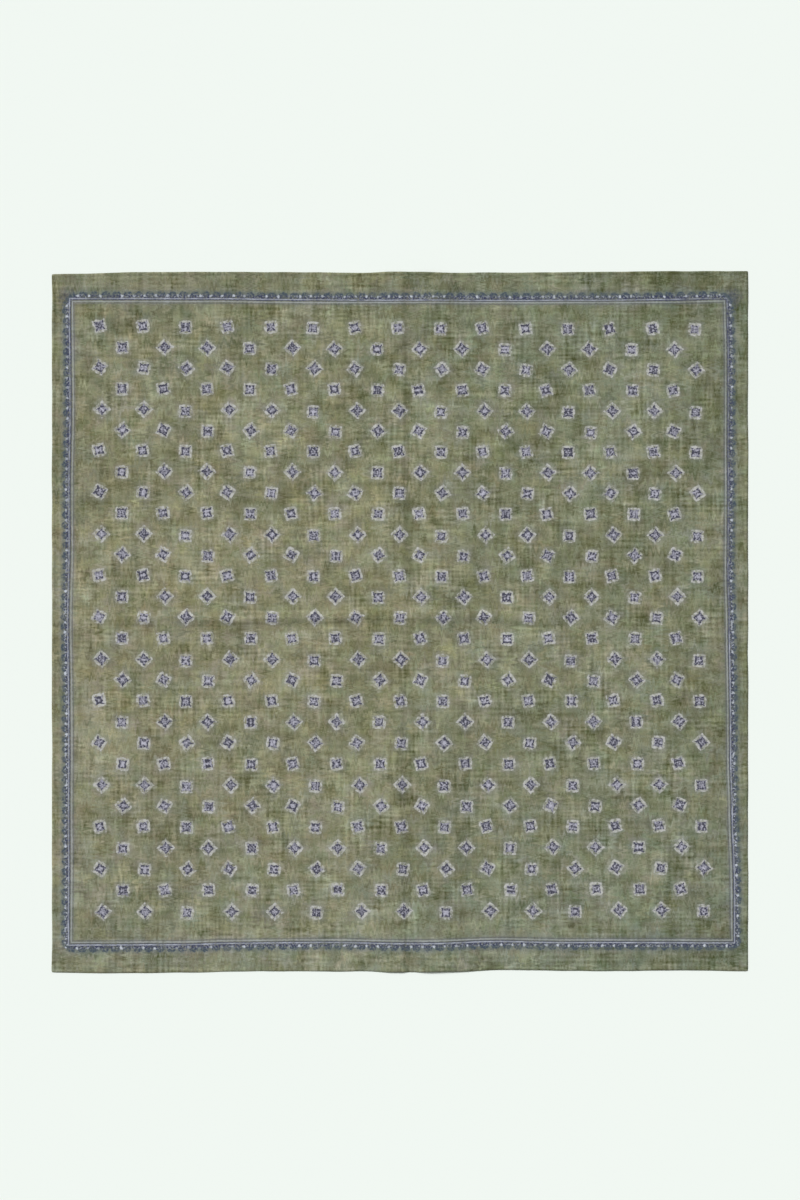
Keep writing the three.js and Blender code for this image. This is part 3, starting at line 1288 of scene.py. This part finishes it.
    # A change of tone down the cloth: darker towards the far edge, and slightly at the near edge.
    tone_drift_down: Table = ((-300, -0.02), (-250, 0.01), (225, 0.01), (262, -0.06), (300, -0.11))
    cooling_across: Table = ((-300, -1.1), (-35, -1.4), (25, 0.2), (90, 1.2), (180, 2.0), (300, 2.8))
    cooling_down: Table = (
        (-300, 3.0), (-230, 2.0), (-175, 0.6), (-110, -0.5), (-30, -1.3), (60, -1.5), (130, -0.8),
        (200, 0.2), (300, 1.2),
    )
    rosiness_across: Table = ((-300, 0.8), (-100, 0.5), (0, 0.0), (120, -0.7), (300, -0.8))
    rosiness_down: Table = ((-300, -0.5), (-150, 0.2), (0, 0.4), (100, 0.1), (200, -0.4), (300, -0.6))
    patches: tuple[Swell, ...] = (
        Swell(-262, 272, 90, 45, 0, -0.10),
        Swell(-40, 272, 60, 40, 0, -0.07),
        Swell(275, 262, 60, 50, 0, 0.09),
        Swell(-257, -95, 80, 50, 90, 0.12),
        Swell(275, -225, 45, 40, 0, 0.10),
        Swell(40, 50, 70, 22, 50, 0.07),
        Swell(272, 215, 70, 30, 90, -0.08),
        Swell(-150, 60, 90, 50, 20, 0.05),
    )
    finish: PrintedCotton = field(default_factory=PrintedCotton)
    fold_lines: tuple[float, ...] = (0, 1.2, 2.4, 3.7, 5.0, 6.5, 8.0, 9.8, 12.0)
    hem_lines: tuple[float, ...] = (0, 0.35, 0.8, 1.5, 2.3, 3.0, 3.6)
    grid_step: float = 3.35
    bake_map: str = "OFBake"
    map_inset: float = 8 / 1024
    rim_strip: float = 4 / 1024

    def grid_lines(self, half: float) -> Array:
        """Spaces the mesh's lines: close at the fold marks and in the hem, even between them.

        Args:
            half: Half the cloth's size that way.

        Returns:
            The lines' places from side to side.
        """
        last, hem = self.fold_lines[-1], half - self.hem_lines[-1]
        steps = math.ceil((hem - last) / self.grid_step)
        between = [last + (hem - last) * step / steps for step in range(1, steps)]
        rims = [half - line for line in reversed(self.hem_lines)]
        lines = [*self.fold_lines, *between, *rims]
        return np.array([-line for line in reversed(lines[1:])] + lines)

    def placed(self, grid_x: Array, grid_y: Array) -> tuple[Array, Array]:
        """Moves the square grid's points to where the cut cloth has them.

        Args:
            grid_x: The grid points' places across a square cloth.
            grid_y: Their places down it.

        Returns:
            Their places across and down the real one.
        """
        half_x, half_y = self.width / 2, self.length / 2
        near_x, near_y = np.abs(grid_x) / half_x, np.abs(grid_y) / half_y
        down, across = self.folds[0], self.folds[1]
        x = grid_x + eased(down.line, grid_y) * (1 - near_x)
        near, far = eased(self.near_shortfall, x), eased(self.far_shortfall, x)
        shortfall = np.where(grid_y < 0, near, far)
        y = grid_y * (1 - shortfall / half_y) + eased(across.line, grid_x) * (1 - near_y)
        waver = self.edge_waver.relief(x, y)
        x = x + waver * np.clip(1 - (1 - near_x) / self.edge_share, 0, 1)
        y = y + waver * np.clip(1 - (1 - near_y) / self.edge_share, 0, 1)
        corner = self.corner_radius * 2
        end_x = np.clip(1 - (half_x - np.abs(grid_x)) / corner, 0, 1)
        end_y = np.clip(1 - (half_y - np.abs(grid_y)) / corner, 0, 1)
        pull = self.corner_pull * self.corner_radius * (end_x * end_y) ** self.corner_power
        return x - np.sign(grid_x) * pull, y - np.sign(grid_y) * pull

    def lie(self, x: Array, y: Array) -> Array:
        """How high the cloth's underside stands over the surface.

        The fine waves are weaker where the cloth is pressed flat than where it stands free.

        Args:
            x: The points' places across the cloth.
            y: Their places down the cloth.

        Returns:
            The height at each point, never below the surface.
        """
        rise = sum(form.height(x, y) for form in (*self.folds, *self.swells))
        free = np.clip((rise - self.free_start) / self.free_rise, self.pressed_share, 1)
        rise = rise + self.loft + free * sum(pucker.relief(x, y) for pucker in self.puckers)
        return np.maximum(rise - self.settle, 0.0)

    def stand(self, x: Array, y: Array, from_edge: Array) -> Array:
        """How far the upper side stands over the underside.

        Args:
            x: The points' places across the cloth.
            y: Their places down the cloth.
            from_edge: How far inside the nearest edge they are.

        Returns:
            The cloth's own thickness, or the hem's where the edge is rolled.
        """
        middle = self.hem_width / 2
        height = self.hem_height * (1 + self.hem_waver.relief(x, y))
        roll = height * np.sqrt(np.clip(1 - ((middle - from_edge) / middle) ** 2, 0, 1))
        joined = (roll**self.hem_joining + self.thickness**self.hem_joining) ** (1 / self.hem_joining)
        return np.where(from_edge < middle, np.maximum(roll, self.cut_edge), joined)

    def dye(self, x: Array, y: Array, from_edge: Array) -> Array:
        """The cloth's broad changes of colour: painted falloff of the lamp's light across it, a tone
        drift down it, painted crease shade that is partly wear along the fold marks, and the darker hem.

        Args:
            x: The points' places across the cloth.
            y: Their places down the cloth.
            from_edge: How far inside the nearest edge they are.

        Returns:
            Each point's change of tone, as a share of the cloth's own, and how much cooler
            and how much rosier it is.
        """
        # Painted light falloff across the cloth, lighter on the left, and a tone drift down it, darker
        # towards the far edge.
        tone = eased(self.painted_falloff_across, x) + eased(self.tone_drift_down, y)
        tone = tone + sum(patch.height(x, y) for patch in self.patches)
        # Painted shade along the fold marks, partly their wear.
        tone = tone + sum(fold.shade(x, y) for fold in self.folds)
        # Darker within about a millimetre of the edge, unevenly along it.
        edge_darkening = self.hem_darkening * np.exp(-((from_edge / self.hem_darkening_width) ** 2))
        tone = tone - edge_darkening * (1 + self.hem_darkening_waver.relief(x, y))
        cool = eased(self.cooling_across, x) + eased(self.cooling_down, y)
        rose = eased(self.rosiness_across, x) + eased(self.rosiness_down, y)
        return np.stack([tone, cool, rose], 1)

    def faces(self, columns: int, rows: int) -> tuple[Array, Array, Array]:
        """Joins the grid's points, those of the underside first, into faces.

        Args:
            columns: How many points there are across the cloth.
            rows: How many there are down it.

        Returns:
            The faces of the upper side, of the underside, and of the edge all round. An
            edge face starts with two points of the underside.
        """
        layer = columns * rows
        at = np.arange(layer).reshape(rows, columns)
        a, b, c, d = at[:-1, :-1], at[:-1, 1:], at[1:, 1:], at[1:, :-1]
        over = np.stack([a, b, c, d], -1).reshape(-1, 4) + layer
        under = np.stack([a, d, c, b], -1).reshape(-1, 4)
        loop = np.concatenate([at[0, :-1], at[:-1, -1], at[-1, :0:-1], at[:0:-1, 0]])
        after = np.roll(loop, -1)
        rim = np.stack([loop, after, after + layer, loop + layer], -1)
        return over, under, rim

    def bake_places(self, grid: Array, faces: tuple[Array, Array, Array]) -> Array:
        """Lays the cloth out flat on one square map.

        The upper side fills the map. The underside lies one map further on, so that it shows
        the same print, and the edge is a thin strip round the upper side.

        Args:
            grid: Each grid point's place on the cloth, from 0 to 1 both ways.
            faces: The faces of the upper side, the underside and the edge.

        Returns:
            The place on the map of each corner of each face.
        """
        over, under, rim = faces
        layer = len(grid)
        flat = self.map_inset + (1 - 2 * self.map_inset) * grid
        strip = flat[rim % layer]
        outward = np.where(grid > 1 - ON_THE_RIM, 1.0, np.where(grid < ON_THE_RIM, -1.0, 0.0))
        shared = outward[rim[:, 0]] * (outward[rim[:, 0]] == outward[rim[:, 1]])
        strip[:, :2] += self.rim_strip * shared[:, None, :]
        shifted = flat[under] + np.array([1.0, 0.0])
        return np.concatenate([flat[over - layer], shifted, strip]).reshape(-1, 2)

    def build(self) -> bpy.types.Object:
        """Builds the cloth.

        Returns:
            The cloth's object, in metres, with its maps and its dye.
        """
        half_x, half_y = self.width / 2, self.length / 2
        lines_x, lines_y = self.grid_lines(half_x), self.grid_lines(half_y)
        grid_x, grid_y = (part.ravel() for part in np.meshgrid(lines_x, lines_y))
        x, y = self.placed(grid_x, grid_y)
        from_edge = np.minimum(half_x - np.abs(grid_x), half_y - np.abs(grid_y))
        under = self.lie(x, y)
        over = under + self.stand(x, y, from_edge)
        points = np.concatenate([np.stack([x, y, under], 1), np.stack([x, y, over], 1)])
        faces = self.faces(len(lines_x), len(lines_y))

        mesh = bpy.data.meshes.new(self.name)
        mesh.from_pydata((points * MM).tolist(), [], np.concatenate(faces).tolist())
        mesh.polygons.foreach_set("use_smooth", [True] * len(mesh.polygons))
        corners = np.concatenate(faces).ravel() % len(x)
        squares, border, weave = self.finish.squares, self.finish.border, self.finish.weave
        grid = np.stack([grid_x / self.width, grid_y / self.length], 1) + 0.5
        maps = {
            squares.map_name: np.stack(squares.coordinates(x, y), 1)[corners],
            border.map_name: np.stack(border.coordinates(x, y), 1)[corners],
            self.bake_map: self.bake_places(grid, faces),
        }
        for name, places in maps.items():
            layer = mesh.uv_layers.new(name=name)
            layer.uv.foreach_set("vector", places.astype(np.float32).ravel())
        mesh.uv_layers.active = mesh.uv_layers[self.bake_map]
        mesh.uv_layers[self.bake_map].active_render = True
        dye = mesh.attributes.new(weave.dye_name, "FLOAT_VECTOR", "POINT")
        dye.data.foreach_set("vector", np.tile(self.dye(x, y, from_edge), (2, 1)).ravel())
        mesh.update()
        return put_in_scene(self.name, mesh)

    def dress(self, cloth: bpy.types.Object) -> None:
        """Gives the cloth its finish."""
        cloth.data.materials.append(self.finish.material())

    def fit(self, cloth: bpy.types.Object) -> None:
        """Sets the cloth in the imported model's frame."""
        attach(cloth, "root")
        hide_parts("scarf")


@dataclass
class PaleFloor:
    """The plain pale surface that the scarf lies on."""

    name: str = "floor"
    half: float = 30.0
    drop: float = 0.05
    colour: Colour = Colour(241, 247, 242)

    def build(self) -> bpy.types.Object:
        """Builds the floor.

        Returns:
            The floor's object.
        """
        mesh = bpy.data.meshes.new(self.name)
        ways = ((-1, -1), (1, -1), (1, 1), (-1, 1))
        corners = [(x * self.half, y * self.half, -self.drop * MM) for x, y in ways]
        mesh.from_pydata(corners, [], [(0, 1, 2, 3)])
        return put_in_scene(self.name, mesh)

    def dress(self, floor: bpy.types.Object) -> None:
        """Gives the floor its matt finish."""
        made = bpy.data.materials.new("pale_surface")
        made.use_nodes = True
        finish = {"Base Color": self.colour, "Roughness": 1.0, "Specular IOR Level": 0.0}
        NodeGraph(made.node_tree).feed_all(made.node_tree.nodes["Principled BSDF"], finish)
        floor.data.materials.append(made)


@dataclass
class StudioLight:
    """One broad lamp high on the far left, and a pale room that fills in from all round."""

    height: float = 40.0
    bearing: float = 135.0
    breadth: float = 24.0
    lamp_share: float = 0.70
    skyline: Edge = Edge(0.10, 0.08)
    rim_glow: float = 0.55
    tint: tuple[float, float, float, float] = (0.98, 1.0, 0.985, 1.0)

    def build(self) -> None:
        """Hangs the lamp and lights the room."""
        data = bpy.data.lights.new("lamp", "SUN")
        lamp_level = LIGHT_LEVEL * self.lamp_share
        data.energy = lamp_level * math.pi / math.sin(math.radians(self.height))
        data.angle = math.radians(self.breadth)
        tilt, turn = math.radians(90 - self.height), math.radians(self.bearing + 90)
        put_in_scene("lamp", data).rotation_euler = (tilt, 0.0, turn)

        world = bpy.data.worlds.new("room")
        world.use_nodes = True
        bpy.context.scene.world = world
        graph = NodeGraph(world.node_tree)
        up = graph.signal("ShaderNodeTexCoord", {}, "Generated").split()[2]
        fill = LIGHT_LEVEL * (1 - self.lamp_share)
        glow = up.within(self.skyline) * self.rim_glow + fill
        graph.feed_all(world.node_tree.nodes["Background"], {"Strength": glow, "Color": self.tint})
        bpy.context.scene.view_settings.view_transform = "Standard"


@dataclass
class OverheadCamera:
    """The camera, which looks straight down at the scarf. Its lengths are metres."""

    distance: float = 3.2
    aim_y: float = 0.019
    picture_height: float = 1200 * 0.862 * MM
    sensor: float = 36.0
    reach: float = 100.0

    def build(self) -> bpy.types.Object:
        """Sets the camera up.

        Returns:
            The camera's object.
        """
        data = bpy.data.cameras.new("camera")
        data.sensor_fit = "AUTO"
        data.sensor_width = self.sensor
        data.lens = self.sensor * self.distance / self.picture_height
        data.dof.use_dof = False
        data.clip_end = self.reach
        camera = put_in_scene("camera", data)
        camera.location = (0.0, self.aim_y, self.distance)
        bpy.context.scene.camera = camera
        return camera


def main() -> None:
    """Builds the scarf and the place it lies in, piece by piece."""
    logging.basicConfig(level=logging.INFO, format="%(name)s: %(message)s")
    camera = OverheadCamera().build()
    log.info("camera at %s", tuple(round(part, 3) for part in camera.location))

    scarf = ScarfCloth()
    cloth = scarf.build()
    scarf.dress(cloth)
    scarf.fit(cloth)
    log.info("%s: %d points, %d faces", cloth.name, len(cloth.data.vertices), len(cloth.data.polygons))

    surface = PaleFloor()
    floor = surface.build()
    surface.dress(floor)
    log.info("%s: %g m across", floor.name, 2 * surface.half)

    StudioLight().build()
    log.info("lamp and room lit")


if __name__ == "__main__":
    main()
